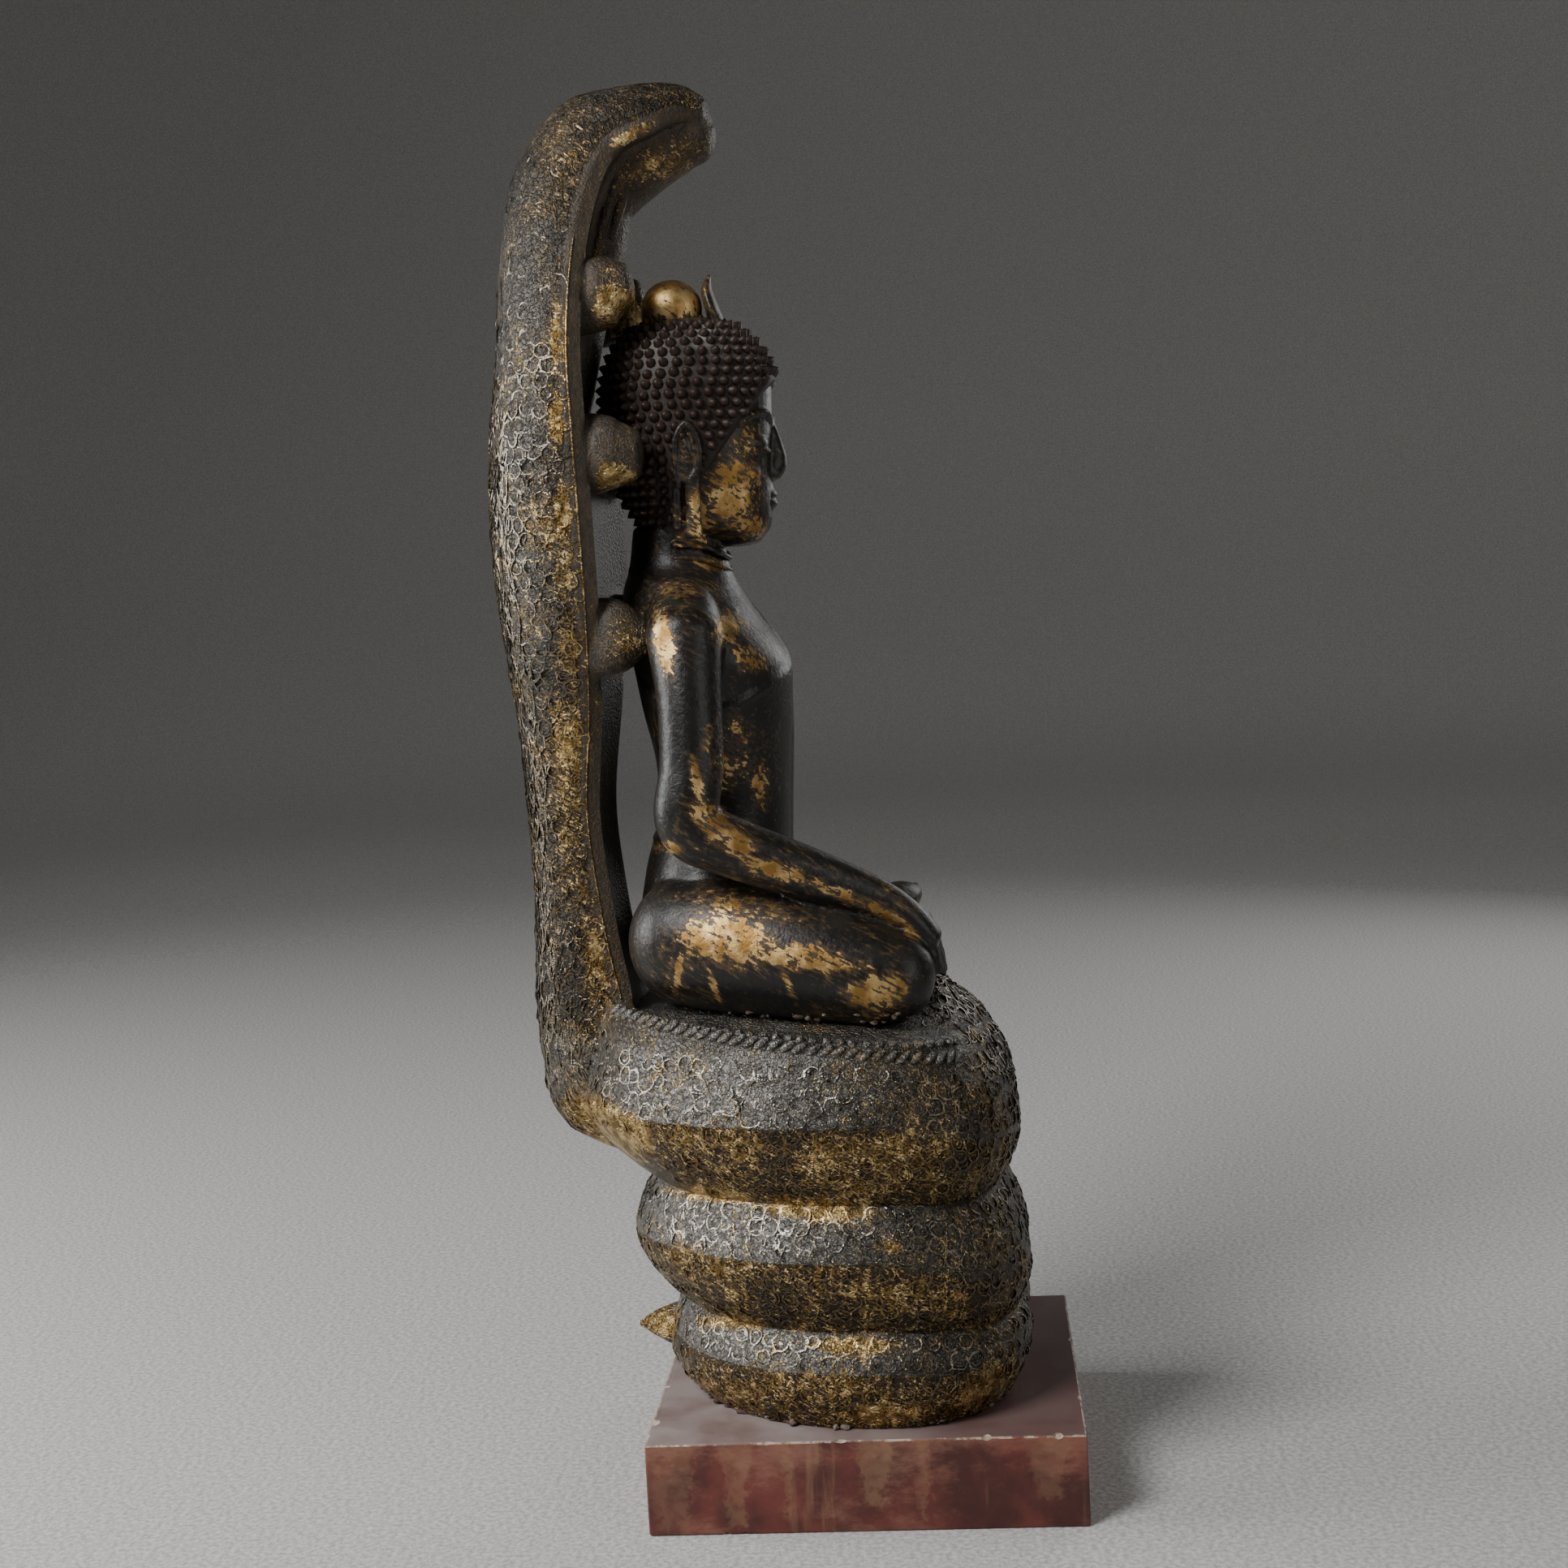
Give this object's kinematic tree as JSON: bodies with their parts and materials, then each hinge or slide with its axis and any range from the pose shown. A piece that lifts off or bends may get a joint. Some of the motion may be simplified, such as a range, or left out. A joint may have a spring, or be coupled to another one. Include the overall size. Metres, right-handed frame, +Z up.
{
  "type": "naga buddha figure",
  "caption": "Seated meditating figure on stacked serpent coils, sheltered by a hood with raised heads, on a square lacquered plinth.",
  "frame": {"origin": "centre of the plinth's underside", "axes": "+Z up, the figure faces -Y, its right side is at -X"},
  "size_m": [0.227, 0.2932, 0.7466],
  "materials": {
    "red_lacquer": "worn satin lacquer",
    "gilded_scales": "worn gilding over dark lacquer",
    "black_lacquer": "glossy black lacquer with worn gilding"
  },
  "bodies": {
    "root": {"plinth": "red_lacquer", "naga": "gilded_scales", "buddha": "black_lacquer"}
  },
  "joints": []
}
